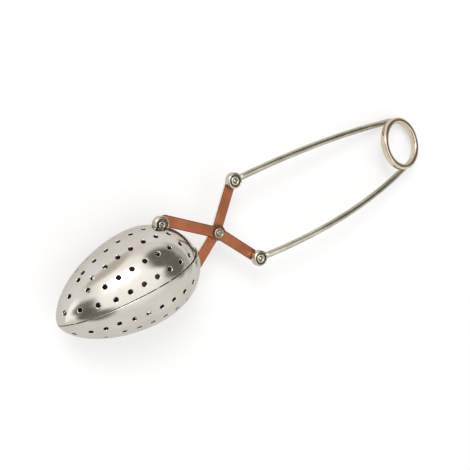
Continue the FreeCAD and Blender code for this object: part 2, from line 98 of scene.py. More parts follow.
# Each shell's holes: number of rows, angle of the first row from the seam, first
# station, pitch, how far odd rows are shifted, and the rings at the tip as
# (station, number of holes, angle of the first from the seam).  The middle rows lie
# nearer the tip by ROW_BOW.
UPPER_HOLES = (8, 12.0, 18.3, 5.35, 0.0, [(3.0, 2, 50.0), (7.0, 4, 26.0), (12.4, 6, 17.0)])
LOWER_HOLES = (7, 25.0, 17.0, 5.15, 2.6, [(3.0, 2, 53.0), (7.4, 4, 33.0), (11.9, 5, 29.0)])
ROW_BOW = 3.4
LUG_STATION = 48.5
LUG_OFFSET = 0.4
LUG_CLEARANCE = 5.4
EYE_RADIUS = 3.1
EYE_HEIGHT = 2.6
RECESS_RADIUS = 2.35
RECESS_DEPTH = 0.7
RIVET_RADIUS = 0.9
RIVET_HEAD = 1.75
FRONT_HEAD = 1.3
HEAD_HEIGHT = 0.6
TAIL_RADIUS = 1.6
CENTRE_RIVET = 1.2
CENTRE_HEAD = 2.05
FACE_CLEARANCE = 0.1
RUNNING = 0.06
OPEN_PIVOT = 0.45
WIRE_RADIUS = 1.25
RING_RADIUS = 9.9
RING_RADIAL = 2.4
RING_HEIGHT = 3.0
RING_PITCH = math.radians(13)
RING_ROLL = math.radians(-8)
RING_CLEARANCE = 0.2
# Legs: how far from the ring's centre they follow its back, the angle from +Y or -Y at
# which they come to it, and the angle that they follow it for.
UPPER_LEG = (10.1, 11.6, 14.0)
LOWER_LEG = (10.9, 9.2, 4.0)

# Fineness of the meshes.
OUTLINE_STEPS = 3000
RIM_STEPS = 4000
CUTTER_RINGS = 72
CUTTER_SEGMENTS, RIVET_SEGMENTS, EYE_SEGMENTS, RING_SEGMENTS, WIRE_SEGMENTS = 96, 64, 80, 144, 36
HOLE_STEPS = 24
EDGE_STEPS = 4
LEG_STEPS, LEG_TAIL_STEPS, WIRE_END_STEPS = 60, 8, 5
# Pitch of a shell's grid; as parts of it, the distance between its rows and its least
# distances from the rim and from the holes.
GRID = 0.85
GRID_ROWS, RIM_MARGIN, HOLE_MARGIN = 0.87, 0.6, 0.55
SHARP_ANGLE = math.radians(40)
POLE = 1e-6

# Small shapes: the holes' inner edges, the shells' faint waves, how deep the lugs sink
# into the egg, and the roundings of the turned parts.
BURR = 0.06
WAVE_PITCH = 0.075
WAVE_HEIGHT = 0.11
WAVE_SINK = 0.6
SLOPE_STEP = 0.2
SINK = 0.03
BORE_EDGE = 0.12
EYE_BASE_EDGE = 0.3
EYE_SHOULDER = 0.65
RECESS_EDGE = 0.12
RECESS_CORNER = 0.15
FLOOR_EDGE = 0.08
RIM_DROP = 0.22
UNDERCUT_IN, UNDERCUT_UP = 0.06, 0.05
# A rivet's tail, as parts of its radius and of the head's height.
TAIL_SHAPE = [(1.0, 0.0), (1.0, 0.45), (0.8, 0.85), (0.4, 1.0)]
WIRE_END_EDGE = 0.4
RING_CORNER = 0.9
WASHER_EDGE = 0.03
PEEN_DEPTH = 0.16
HAMMER_DEPTH = 0.3
HAMMER_PITCH = 2.4

# A lever's face counts as its side or its top by how far its normal lies along the rivets.
SIDE_FACE = 0.35
TOP_FACE = 0.97

FRONT_TOP = LEVER_GAP / 2 + LEVER_THICKNESS
FRONT_BOTTOM = LEVER_GAP / 2
BACK_TOP = -LEVER_GAP / 2
BACK_BOTTOM = BACK_TOP - LEVER_THICKNESS
TIP_X = -(EGG_SETBACK + EGG_LENGTH)
SEAM_HEIGHT = SEAM_GAP / 2 + RIM_EDGE
SKEW = Matrix.Rotation(EGG_SKEW, 3, "Z")


# ---- materials
SCALAR, VECTOR = "ShaderNodeMath", "ShaderNodeVectorMath"


def add_node(tree, kind, inputs=None, **settings):
    """Node with its settings, and its inputs set to values or linked to other sockets."""
    node = tree.nodes.new(kind)
    for key, value in settings.items():
        setattr(node, key, value)
    for key, value in (inputs or {}).items():
        if isinstance(value, bpy.types.NodeSocket):
            tree.links.new(value, node.inputs[key])
        else:
            node.inputs[key].default_value = value
    return node


def calculate(tree, kind, operation, *values, output=0):
    """Result of a maths node on values or linked sockets."""
    return add_node(tree, kind, dict(enumerate(values)), operation=operation).outputs[output]


def blend(tree, factor, first, second, blend_type="MIX"):
    """Colour between two colours."""
    inputs = {0: factor, 6: first, 7: second}
    return add_node(tree, "ShaderNodeMix", inputs, data_type="RGBA", blend_type=blend_type).outputs[2]


def ramp(tree, factor, stops):
    """Colour ramp over a factor; stops are (position, colour) pairs."""
    node = add_node(tree, "ShaderNodeValToRGB", {"Fac": factor})
    elements = node.color_ramp.elements
    while len(elements) < len(stops):
        elements.new(0.5)
    for element, (position, colour) in zip(elements, stops):
        element.position = position
        element.color = (*colour, 1)
    return node.outputs["Color"]


def noise_field(tree, vector, scale, detail, roughness=0.5):
    inputs = {"Vector": vector, "Scale": scale, "Detail": detail, "Roughness": roughness}
    return add_node(tree, "ShaderNodeTexNoise", inputs).outputs["Fac"]


def spread(tree, value, low, high, to_low, to_high):
    """Maps a value from one range to another, clamped."""
    inputs = {"Value": value, "From Min": low, "From Max": high, "To Min": to_low, "To Max": to_high}
    return add_node(tree, "ShaderNodeMapRange", inputs).outputs["Result"]


# What the metals share: their tone at a grazing angle, their tone under a stain, which round the rivets is
# patina with painted contact shade, how much the roughness changes from patch to patch, and the shares of
# patches and lines in the tone.
GRAZING_TINT = (0.80, 0.78, 0.75, 1)
STAIN_AND_SHADE = (0.45, 0.36, 0.32)
ROUGHNESS_PATCH = 0.02
PATCH_SHARE = 0.72


def metal(name, tones, roughness, grain, grain_turn, blotch_scale, bump, stains_and_shade=()):
    """Worked metal: blotches of slightly different tone, fine directional grain and soft scratches.

    tones are the colours of its dull, usual and bright patches, and roughness its least
    greatest; grain is how fine the grain is along each axis, per metre, after a turn
    that lays X along the grain.  bump is the height of the grain and of the speckle, in
    metres.  Each stain is (centre, radius, fade): the metal is darker inside it, as patina with painted
    contact shade.
    """
    material = bpy.data.materials.new(name)
    material.use_nodes = True
    tree = material.node_tree
    tree.nodes.clear()
    place = add_node(tree, "ShaderNodeTexCoord").outputs["Object"]
    turned = add_node(tree, "ShaderNodeMapping", {"Vector": place, "Rotation": grain_turn}).outputs["Vector"]
    lined = add_node(tree, "ShaderNodeMapping", {"Vector": turned, "Scale": grain}).outputs["Vector"]
    blotches = noise_field(tree, place, blotch_scale, 3.0, 0.55)
    fine = noise_field(tree, place, blotch_scale * 9, 2.0, 0.6)
    lines = noise_field(tree, lined, 1.0, 4.0, 0.65)
    patchy = calculate(tree, SCALAR, "MULTIPLY", blotches, PATCH_SHARE)
    speckled = calculate(tree, SCALAR, "MULTIPLY_ADD", lines, 1 - PATCH_SHARE, patchy)
    colour = ramp(tree, speckled, [(0.33, tones[0]), (0.5, tones[1]), (0.66, tones[2])])
    for centre, radius, fade in stains_and_shade:
        away = calculate(tree, VECTOR, "DISTANCE", place, centre, output="Value")
        away = calculate(tree, SCALAR, "MULTIPLY_ADD", blotches, fade, away)
        clear = spread(tree, away, radius, radius + fade, 0.0, 1.0)
        darkened = ramp(tree, clear, [(0.0, STAIN_AND_SHADE), (1.0, (1, 1, 1))])
        colour = blend(tree, 1.0, colour, darkened, "MULTIPLY")
    dull = spread(tree, lines, 0.3, 0.7, roughness[0], roughness[1])
    uneven = spread(tree, blotches, 0.35, 0.65, -ROUGHNESS_PATCH, ROUGHNESS_PATCH)
    rough = add_node(tree, "ShaderNodeMath", {0: dull, 1: uneven}, operation="ADD", use_clamp=True)
    relief = calculate(tree, SCALAR, "MULTIPLY_ADD", fine, bump[1] / bump[0], lines)
    raised = add_node(tree, "ShaderNodeBump", {"Height": relief, "Strength": 1.0, "Distance": bump[0]})
    shader = add_node(
        tree, "ShaderNodeBsdfPrincipled",
        {
            "Base Color": colour, "Metallic": 1.0, "Roughness": rough.outputs[0],
            "Specular Tint": GRAZING_TINT, "Normal": raised.outputs["Normal"],
        },
    )
    add_node(tree, "ShaderNodeOutputMaterial", {"Surface": shader.outputs["BSDF"]})
    return material


STEEL = metal(
    "polished_stainless", [(0.53, 0.495, 0.44), (0.575, 0.545, 0.495), (0.62, 0.595, 0.55)],
    (0.10, 0.17), (160, 2600, 2600), (0, 0, 0), 90, (0.0000012, 0.0000015),
)
LINING = metal(
    "dull_inside_of_the_sheet", [(0.17, 0.16, 0.14), (0.24, 0.225, 0.20), (0.32, 0.30, 0.27)],
    (0.4, 0.55), (160, 1600, 1600), (0, 0, 0), 120, (0.000002, 0.000003),
)
# Round the three rivets the copper is darker: patina with painted contact shade under the heads and eyes.
COPPER = metal(
    "brushed_copper_plate", [(0.29, 0.098, 0.046), (0.37, 0.13, 0.062), (0.45, 0.17, 0.085)],
    (0.34, 0.46), (250, 3200, 3200), (0, 0, 0.8), 130, (0.000004, 0.000004),
    [(CENTRE, 0.0029, 0.0006), (LOCAL @ UPPER_REAR, 0.0030, 0.0014), (LOCAL @ LOWER_REAR, 0.0030, 0.0014)],
)
# Bare sheared steel of the levers' sides, toned paler than the steel so that it also paints a highlight line.
BARE_EDGE_AND_HIGHLIGHT = metal(
    "sheared_bare_edge_and_painted_highlight", [(0.66, 0.56, 0.46), (0.80, 0.72, 0.62), (0.88, 0.81, 0.72)],
    (0.26, 0.42), (3000, 3000, 500), (0, 0, 0), 700, (0.000008, 0.000006),
)
# Near-black copper for the levers' bevels: a painted dark reflection.
DARK_REFLECTION_BEVEL = metal(
    "painted_dark_reflection_bevel", [(0.018, 0.008, 0.005), (0.035, 0.014, 0.008), (0.07, 0.028, 0.016)],
    (0.30, 0.42), (400, 3000, 3000), (0, 0, 0.8), 500, (0.000003, 0.000004),
)
NICKEL = metal(
    "tumbled_nickel", [(0.42, 0.38, 0.31), (0.55, 0.51, 0.43), (0.66, 0.62, 0.54)],
    (0.16, 0.28), (1200, 1200, 2600), (0, 0, 0), 420, (0.000004, 0.000006),
)
HAMMERED = metal(
    "hammered_dark_nickel", [(0.22, 0.195, 0.155), (0.36, 0.33, 0.27), (0.52, 0.485, 0.42)],
    (0.20, 0.34), (1200, 1200, 2600), (0, 0, 0), 420, (0.000004, 0.000006),
)
# Near-black metal that paints the shade in the recesses of the eyes and rivets.
RECESS_SHADE = metal(
    "painted_shade_in_the_recesses", [(0.07, 0.06, 0.045), (0.13, 0.11, 0.085), (0.24, 0.20, 0.16)],
    (0.35, 0.5), (1500, 1500, 1500), (0, 0, 0), 900, (0.000004, 0.000006),
)
WIRE = metal(
    "drawn_spring_wire", [(0.38, 0.345, 0.28), (0.48, 0.445, 0.375), (0.57, 0.535, 0.465)],
    (0.17, 0.27), (120, 3500, 3500), (0, 0, 0), 160, (0.000002, 0.000002),
)
RING_METAL = metal(
    "polished_champagne_nickel", [(0.56, 0.475, 0.35), (0.64, 0.555, 0.43), (0.71, 0.63, 0.51)],
    (0.06, 0.12), (500, 500, 1800), (0, 0, 0), 150, (0.000001, 0.000001),
)


# ---- mesh helpers
def new_mesh(name, vertices, faces):
    """Closed smooth mesh in the shared frame from points in the frame of the rivets."""
    mesh = bpy.data.meshes.new(name)
    mesh.from_pydata([LOCAL @ Vector(vertex) for vertex in vertices], [], faces)
    shape = bmesh.new()
    shape.from_mesh(mesh)
    bmesh.ops.recalc_face_normals(shape, faces=shape.faces)
    shape.to_mesh(mesh)
    shape.free()
    mesh.polygons.foreach_set("use_smooth", [True] * len(mesh.polygons))
    return mesh


def new_piece(name, mesh):
    piece = bpy.data.objects.new(name, mesh)
    bpy.context.scene.collection.objects.link(piece)
    return piece


def apply_modifiers(piece):
    """Turns what the modifiers make into the piece's own mesh."""
    graph = bpy.context.evaluated_depsgraph_get()
    made = bpy.data.meshes.new_from_object(piece.evaluated_get(graph))
    made.name = piece.name
    piece.modifiers.clear()
    piece.data = made


def machined(name, vertices, faces, cutter=None):
    """Hard piece, cut to shape: its flats look flat and its edges over SHARP_ANGLE look sharp."""
    piece = new_piece(name, new_mesh(name, vertices, faces))
    if cutter is not None:
        cut = piece.modifiers.new("cut", "BOOLEAN")
        cut.operation = "DIFFERENCE"
        cut.solver = "MANIFOLD"
        cut.object = cutter
        apply_modifiers(piece)
    piece.data.set_sharp_from_angle(angle=SHARP_ANGLE)
    weighted = piece.modifiers.new("flats", "WEIGHTED_NORMAL")
    weighted.keep_sharp = True
    apply_modifiers(piece)
    return piece


def place_piece(piece, material, body, node):
    """Gives a piece its material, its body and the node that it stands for."""
    piece.data.materials.clear()
    piece.data.materials.append(material)
    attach(piece, body)
    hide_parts(node)
    return piece


def arc_points(centre, radius, start, end, steps):
    """Points of an arc in the plane, both ends included, angles in radians."""
    points = []
    for step in range(steps + 1):
        angle = start + (end - start) * step / steps
        points.append(centre + Vector((math.cos(angle), math.sin(angle))) * radius)
    return points


def rounded(corners, steps=5):
    """Closed outline whose corners (x, y, radius) are replaced by arcs."""
    outline = []
    for index, (x, y, radius) in enumerate(corners):
        here = Vector((x, y))
        if radius == 0:
            outline.append(here)
            continue
        before = (Vector(corners[index - 1][:2]) - here).normalized()
        after = (Vector(corners[(index + 1) % len(corners)][:2]) - here).normalized()
        half = before.angle(after) / 2
        middle = here + (before + after).normalized() * (radius / math.sin(half))
        reach = radius / math.tan(half)
        first = here + before * reach - middle
        last = here + after * reach - middle
        start = math.atan2(first.y, first.x)
        sweep = math.atan2(first.cross(last), first.dot(last))
        outline += arc_points(middle, radius, start, start + sweep, steps)
    return outline


def next_numbers(items, count):
    """Numbers that the next items of a list will have."""
    return list(range(len(items), len(items) + count))


def band(inner, outer, low, high, edge):
    """Corners of the section of a flat ring, each with its rounding."""
    return [(inner, low, edge), (outer, low, edge), (outer, high, edge), (inner, high, edge)]


def between(rows, segments):
    """Faces between neighbouring rows of points; a row that repeats one point is a pole."""
    faces = []
    for low, high in zip(rows, rows[1:]):
        for step in range(segments):
            after = (step + 1) % segments
            face = list(dict.fromkeys([low[step], low[after], high[after], high[step]]))
            if len(face) > 2:
                faces.append(face)
    return faces


def circled(circles, segments):
    """Vertices and rows of circles (centre, two directions, radius); radius 0 is a pole."""
    vertices, rows = [], []
    for centre, side, other, radius in circles:
        if radius < POLE:
            rows.append([len(vertices)] * segments)
            vertices.append(centre)
            continue
        rows.append(next_numbers(vertices, segments))
        for step in range(segments):
            angle = 2 * math.pi * step / segments
            vertices.append(centre + (side * math.cos(angle) + other * math.sin(angle)) * radius)
    return vertices, rows


def lathe(section, segments=RIVET_SEGMENTS, closed=True):
    """Vertices and faces of a section (radius, height) turned about Z."""
    side, other = Vector((1, 0, 0)), Vector((0, 1, 0))
    circles = [(Vector((0, 0, height)), side, other, radius) for radius, height in section]
    vertices, rows = circled(circles, segments)
    if closed:
        rows.append(rows[0])
    return vertices, between(rows, segments)


def seated(vertices, at, turned_over):
    """Vertices moved to a pivot point, upside down about the height turned_over unless it is None."""
    if turned_over is not None:
        vertices = [Vector((v.x, v.y, 2 * turned_over - v.z)) for v in vertices]
    return [vertex + at for vertex in vertices]


def tube(path):
    """Vertices and faces of a round wire along a path, its ends squared off and eased."""
    tangents = []
    for index in range(len(path)):
        low, high = max(index - 1, 0), min(index + 1, len(path) - 1)
        tangents.append((path[high] - path[low]).normalized())
    stations = []
    for end, inward in ((0, 1), (-1, -1)):
        eased = []
        for step in range(WIRE_END_STEPS):
            angle = math.pi / 2 * step / WIRE_END_STEPS
            along = tangents[end] * (inward * WIRE_END_EDGE * (1 - math.cos(angle)))
            reach = WIRE_RADIUS - WIRE_END_EDGE * (1 - math.sin(angle))
            eased.append((path[end] + along, tangents[end], reach))
        eased.insert(0, (path[end], tangents[end], 0.0))
        stations.append(eased)
    middle = [(path[i], tangents[i], WIRE_RADIUS) for i in range(1, len(path) - 1)]
    line = stations[0] + middle + stations[1][::-1]
    side = line[0][1].orthogonal().normalized()
    circles = []
    for point, tangent, reach in line:
        side = (side - tangent * side.dot(tangent)).normalized()
        circles.append((point, side, tangent.cross(side), reach))
    vertices, rows = circled(circles, WIRE_SEGMENTS)
    return vertices, between(rows, WIRE_SEGMENTS)


def triangles_inside(points, loops):
    """Triangles between closed loops of points: the first is the outline, the others are holes."""
    edges = [(loop[i - 1], loop[i]) for loop in loops for i in range(len(loop))]
    made = delaunay_2d_cdt(points, edges, [], 1, 1e-7)
    origin = [ids[0] for ids in made[3]]
    hole_of = {index: number for number, loop in enumerate(loops[1:]) for index in loop}
    kept = []
    for face in made[2]:
        corners = [origin[index] for index in face]
        owners = {hole_of.get(index, -1) for index in corners}
        if len(owners) > 1 or owners == {-1}:
            kept.append(corners)
    return kept


# ---- shells
def egg_fullness(azimuth):
    """Radius of the egg against its largest; azimuth runs from 0 at the tip to pi."""
    swell = 1 - EGG_LEAN * math.cos(azimuth) + EGG_BELLY * math.cos(2 * azimuth)
    return math.sin(azimuth) ** EGG_POINT * swell / EGG_PEAK


class Egg:
    """Outer surface of the egg, addressed by the distance along its outline from the tip."""

    def __init__(self, length):
        azimuths = np.linspace(0, math.pi, OUTLINE_STEPS + 1)
        self.along = length * (1 - np.cos(azimuths)) / 2
        self.out = np.array([EGG_RADIUS * egg_fullness(min(a, math.pi - 1e-9)) for a in azimuths])
        run = np.hypot(np.diff(self.along), np.diff(self.out))
        self.arc = np.concatenate([[0], np.cumsum(run)])
        slope_along, slope_out = np.gradient(self.along, self.arc), np.gradient(self.out, self.arc)
        size = np.hypot(slope_along, slope_out)
        self.normal_along, self.normal_out = -slope_out / size, slope_along / size
        self.total = self.arc[-1]

    def at(self, arc):
        """Distance along the axis, radius, and the two parts of the outward normal."""
        tables = (self.along, self.out, self.normal_along, self.normal_out)
        return [float(np.interp(arc, self.arc, table)) for table in tables]

    def arc_at_station(self, station):
        return float(np.interp(station, self.along, self.arc))

    def point(self, arc, lean):
        """Surface point and normal; lean is the angle away from the middle of the shell."""
        along, out, normal_along, normal_out = self.at(arc)
        radial = Vector((0, math.cos(lean), -math.sin(lean)))
        normal = Vector((normal_along, 0, 0)) + radial * normal_out
        return Vector((TIP_X + along, 0, 0)) + radial * out, normal.normalized()

    def nearest(self, point, arc):
        """Address of the surface point nearest to a point, from a first guess."""
        lean = math.atan2(-point.z, point.y)
        out = math.hypot(point.y, point.z)
        for _ in range(4):
            here_along, here_out, normal_along, normal_out = self.at(arc)
            ahead = (point.x - TIP_X - here_along) * normal_out
            arc += ahead - (out - here_out) * normal_along
            arc = min(max(arc, 0.0), self.total)
        return arc, lean


def lug_point(side):
    """Centre of a front lug, a little outside the egg; side is 1 above and -1 below the seam."""
    egg = Egg(EGG_LENGTH)
    along, out, normal_along, normal_out = egg.at(egg.arc_at_station(LUG_STATION))
    x = TIP_X + along + normal_along * LUG_OFFSET
    return SKEW @ Vector((x, side * (out + normal_out * LUG_OFFSET), 0))


def hole_stations(upper):
    """Distance along the axis from the tip and angle from the seam of every hole."""
    rows, first_angle, first_station, pitch, stagger, tip_rings = UPPER_HOLES if upper else LOWER_HOLES
    stations = []
    for station, number, edge_angle in tip_rings:
        for index in range(number):
            stations.append((station, edge_angle + (180 - 2 * edge_angle) * index / (number - 1)))
    for row in range(rows):
        angle = first_angle + (180 - 2 * first_angle) * row / (rows - 1)
        forward = ROW_BOW * math.sin(math.radians(angle)) ** 2
        shift = stagger if row % 2 else 0.0
        for index in range(HOLES_PER_ROW):
            stations.append((first_station + pitch * index - forward + shift, angle))
    return stations


def waviness(point, normal):
    """Height of the pressed sheet's faint waves at a point, and its slope along the surface."""
    across = normal.orthogonal().normalized()
    other = normal.cross(across)
    here = (noise.noise(point * WAVE_PITCH) - WAVE_SINK) * WAVE_HEIGHT
    slope = Vector()
    for side in (across, other):
        ahead = noise.noise((point + side * SLOPE_STEP) * WAVE_PITCH) * WAVE_HEIGHT
        behind = noise.noise((point - side * SLOPE_STEP) * WAVE_PITCH) * WAVE_HEIGHT
        slope += side * ((ahead - behind) / (2 * SLOPE_STEP))
    return here, slope


def rim_addresses(egg):
    """Addresses along the rim, evenly spaced, where the surface meets the seam's eased edge."""
    fine = [egg.total * step / RIM_STEPS for step in range(RIM_STEPS + 1)]
    fine = [arc for arc in fine if egg.at(arc)[1] > SEAM_HEIGHT]
    curve = [(arc, math.acos(SEAM_HEIGHT / egg.at(arc)[1])) for arc in fine]
    places = [egg.point(arc, lean)[0] for arc, lean in curve]
    run = [0.0]
    for before, after in zip(places, places[1:]):
        run.append(run[-1] + (after - before).length)
    count = round(run[-1] / GRID)
    wanted = [run[-1] * step / count for step in range(count + 1)]
    arcs = np.interp(wanted, run, [arc for arc, _ in curve])
    leans = np.interp(wanted, run, [lean for _, lean in curve])
    half = [(float(arc), float(lean)) for arc, lean in zip(arcs, leans)]
    return half + [(arc, -lean) for arc, lean in half[-2:0:-1]]


def punched_holes(egg, upper, joint):
    """Middle, normal and ring of each hole that the lug leaves free.

    The ring holds pairs of an address on the surface and the direction to it from the middle.
    """
    side = 1 if upper else -1
    holes = []
    for station, degrees in hole_stations(upper):
        arc = egg.arc_at_station(station)
        centre, normal = egg.point(arc, math.radians(degrees - 90))
        mirrored = SKEW @ Vector((centre.x, side * centre.y, centre.z))
        if (mirrored - joint).length < LUG_CLEARANCE:
            continue
        across = normal.orthogonal().normalized()
        other = normal.cross(across)
        ring = []
        for step in range(HOLE_STEPS):
            angle = 2 * math.pi * step / HOLE_STEPS
            spoke = across * math.cos(angle) + other * math.sin(angle)
            ring.append((egg.nearest(centre + spoke * (HOLE_RADIUS + HOLE_EDGE), arc), spoke))
        holes.append((centre, normal, ring))
    return holes


def grid_addresses(egg, holes):
    """Addresses of an even grid between the rim and the holes."""
    addresses = []
    room = HOLE_RADIUS + HOLE_EDGE + GRID * HOLE_MARGIN
    rows = round(egg.total / (GRID * GRID_ROWS))
    for row in range(1, rows):
        arc = egg.total * row / rows
        out = egg.at(arc)[1]
        if out < SEAM_HEIGHT * 1.5:
            continue
        reach = out * math.acos(SEAM_HEIGHT / out) - GRID * RIM_MARGIN
        number = max(int(2 * reach / GRID), 1)
        for index in range(number + 1):
            across = -reach + 2 * reach * (index + (row % 2) * 0.5) / number
            if abs(across) > reach:
                continue
            lean = across / out
            place = egg.point(arc, lean)[0]
            if all((place - hole[0]).length > room for hole in holes):
                addresses.append((arc, lean))
    return addresses


class Sheet:
    """Mesh of a shell in the making: its outer skin, its inner skin, then the edges between them."""

    def __init__(self, egg, addresses, rim, skin):
        self.vertices, self.normals = [], []
        for arc, lean in addresses:
            place, normal = egg.point(arc, lean)
            height, slope = waviness(place, normal)
            self.vertices.append(place + normal * height)
            self.normals.append((normal - slope).normalized())
        self.count = len(addresses)
        on_rim = set(rim)
        for index in range(self.count):
            inner = self.vertices[index] - self.normals[index] * WALL
            if index in on_rim:
                inner.y = self.vertices[index].y
            self.vertices.append(inner)
            self.normals.append(-self.normals[index])
        self.faces = skin + [self.behind(reversed(corners)) for corners in skin]

    def behind(self, loop):
        """Points of the inner skin that lie behind points of the outer skin."""
        return [self.count + index for index in loop]

    def stitch(self, first, second):
        for index in range(len(first)):
            self.faces.append([first[index - 1], first[index], second[index], second[index - 1]])

    def extend(self, last, points, normals):
        """Adds a loop of points, stitched to the loop before it."""
        following = next_numbers(self.vertices, len(points))
        self.vertices += points
        self.normals += normals
        self.stitch(last, following)
        return following

    def punch(self, loop, normal, spokes):
        """Eased mouth, straight wall and broken inner edge of a hole."""
        mouth = [(self.vertices[index], spoke) for index, spoke in zip(loop, spokes)]
        last = loop
        for step in range(1, EDGE_STEPS + 1):
            angle = math.pi / 2 * step / EDGE_STEPS
            inward, down = HOLE_EDGE * math.sin(angle), HOLE_EDGE * (1 - math.cos(angle))
            points = [place - spoke * inward - normal * down for place, spoke in mouth]
            turned = [normal * math.cos(angle) - spoke * math.sin(angle) for spoke in spokes]
            last = self.extend(last, points, turned)
        points = [place - spoke * HOLE_EDGE - normal * (WALL - BURR) for place, spoke in mouth]
        last = self.extend(last, points, [-spoke for spoke in spokes])
        points = [place - spoke * (HOLE_EDGE - BURR) - normal * WALL for place, spoke in mouth]
        last = self.extend(last, points, [-normal for _ in spokes])
        self.stitch(last, self.behind(loop))

    def ease_rim(self, rim):
        """Rounded edge at the seam, from the outer skin round to the inner one."""
        outer = [(True, step) for step in range(1, EDGE_STEPS + 1)]
        inner = [(False, step) for step in range(EDGE_STEPS, 0, -1)]
        last = rim
        for outside, step in outer + inner:
            angle = math.pi / 2 * step / EDGE_STEPS
            depth = RIM_EDGE * (1 - math.cos(angle))
            depth = depth if outside else WALL - depth
            points, turned = [], []
            for index in rim:
                normal = self.normals[index]
                down = Vector((0, -1, 0)) + normal * normal.y
                down.normalize()
                points.append(self.vertices[index] + down * (RIM_EDGE * math.sin(angle)) - normal * depth)
                outward = normal if outside else -normal
                turned.append(outward * math.cos(angle) + down * math.sin(angle))
            last = self.extend(last, points, turned)
        self.stitch(last, self.behind(rim))


def shell(name, node, upper, joint, body):
    """Half shell with punched holes, a wall of even thickness and eased edges."""
    egg = Egg(EGG_LENGTH if upper else EGG_LENGTH + OVERHANG)
    holes = punched_holes(egg, upper, joint)
    addresses = rim_addresses(egg)
    rim = list(range(len(addresses)))
    loops = [rim]
    for _, _, ring in holes:
        loops.append(next_numbers(addresses, len(ring)))
        addresses += [address for address, _ in ring]
    addresses += grid_addresses(egg, holes)
    flats = [Vector((arc, egg.at(arc)[1] * lean)) for arc, lean in addresses]
    skin = triangles_inside(flats, loops)

    sheet = Sheet(egg, addresses, rim, skin)
    for loop, (_, normal, ring) in zip(loops[1:], holes):
        sheet.punch(loop, normal, [spoke for _, spoke in ring])
    sheet.ease_rim(rim)

    place = SKEW @ Matrix.Diagonal((1, 1 if upper else -1, 1))
    mesh = new_mesh(name, [place @ vertex for vertex in sheet.vertices], sheet.faces)
    turn = LOCAL.to_3x3() * (1 / MM) @ place
    mesh.normals_split_custom_set_from_vertices([(turn @ normal).normalized() for normal in sheet.normals])
    piece = place_piece(new_piece(name, mesh), STEEL, body, node)
    piece.data.materials.append(LINING)
    for face in piece.data.polygons[len(skin):2 * len(skin)]:
        face.material_index = 1
    return piece


def egg_cutter(length):
    """Closed form of the egg's outer surface, a hair inside it, for trimming what is welded on."""
    egg = Egg(length)
    section = []
    for index in range(CUTTER_RINGS + 1):
        along, out, _, _ = egg.at(egg.total * index / CUTTER_RINGS)
        section.append((max(out - SINK, 0), along))
    section[0] = (0, SINK)
    section[-1] = (0, length - SINK)
    vertices, faces = lathe(section, CUTTER_SEGMENTS, closed=False)
    vertices = [SKEW @ Vector((TIP_X + v.z, v.y, v.x)) for v in vertices]
    return new_piece("egg_cutter", new_mesh("egg_cutter", vertices, faces))


# ---- levers
def lever_outline(arms):
    """Outline of a lever, anticlockwise: each arm is a list of points from the centre out."""
    half = LEVER_WIDTH / 2
    blend_y = half + LEVER_FILLET
    blend_x = math.sqrt((LEVER_BOSS + LEVER_FILLET) ** 2 - blend_y ** 2)
    blend_angle = math.atan2(blend_y, blend_x)
    directions = [math.atan2(arm[0].y, arm[0].x) for arm in arms]
    outline = []
    for number, arm in enumerate(arms):
        angle = directions[number]
        turn = Matrix.Rotation(angle, 2)
        right = arc_points(Vector((blend_x, -blend_y)), LEVER_FILLET, math.pi - blend_angle, math.pi / 2, 6)
        outline += [turn @ point for point in right]
        chain = [Vector((0, 0))] + arm
        headings = [math.atan2((b - a).y, (b - a).x) for a, b in zip(chain, chain[1:])]
        for index in range(len(headings) - 1):
            outline += bend_points(chain[index + 1], headings[index], headings[index + 1], -1)
        last = headings[-1]
        outline += arc_points(chain[-1], half, last - math.pi / 2, last + math.pi / 2, 18)
        for index in range(len(headings) - 1, 0, -1):
            outline += bend_points(chain[index], headings[index], headings[index - 1], 1)
        left = arc_points(Vector((blend_x, blend_y)), LEVER_FILLET, -math.pi / 2, blend_angle - math.pi, 6)
        outline += [turn @ point for point in left]
        following = directions[(number + 1) % len(arms)]
        sweep = (following - angle) % (2 * math.pi)
        boss = arc_points(Vector((0, 0)), LEVER_BOSS, angle + blend_angle, angle + sweep - blend_angle, 12)
        outline += boss[1:-1]
    return outline


def bend_points(corner, heading, following, side):
    """Edge of an arm where it turns at a point: an arc outside the turn, one point inside it."""
    half = LEVER_WIDTH / 2
    turn = (following - heading + math.pi) % (2 * math.pi) - math.pi
    first = heading + side * math.pi / 2
    if turn > 0:
        return arc_points(corner, half, first, first + turn, 8)
    middle = first + turn / 2
    return [corner + Vector((math.cos(middle), math.sin(middle))) * (half / math.cos(turn / 2))]


def offset_loop(loop, distance):
    """The loop moved inward (left of an anticlockwise walk) by a distance."""
    moved = []
    for index, point in enumerate(loop):
        before = (point - loop[index - 1]).normalized()
        after = (loop[(index + 1) % len(loop)] - point).normalized()
        along = (before + after).normalized()
        inward = Vector((-along.y, along.x))
        moved.append(point + inward * (distance / max(inward.dot(Vector((-after.y, after.x))), 0.5)))
    return moved


def without_repeats(loop):
    kept = []
    for point in loop:
        if not kept or (point - kept[-1]).length > 1e-4:
            kept.append(point)
    if (kept[0] - kept[-1]).length < 1e-4:
        kept.pop()
    return kept


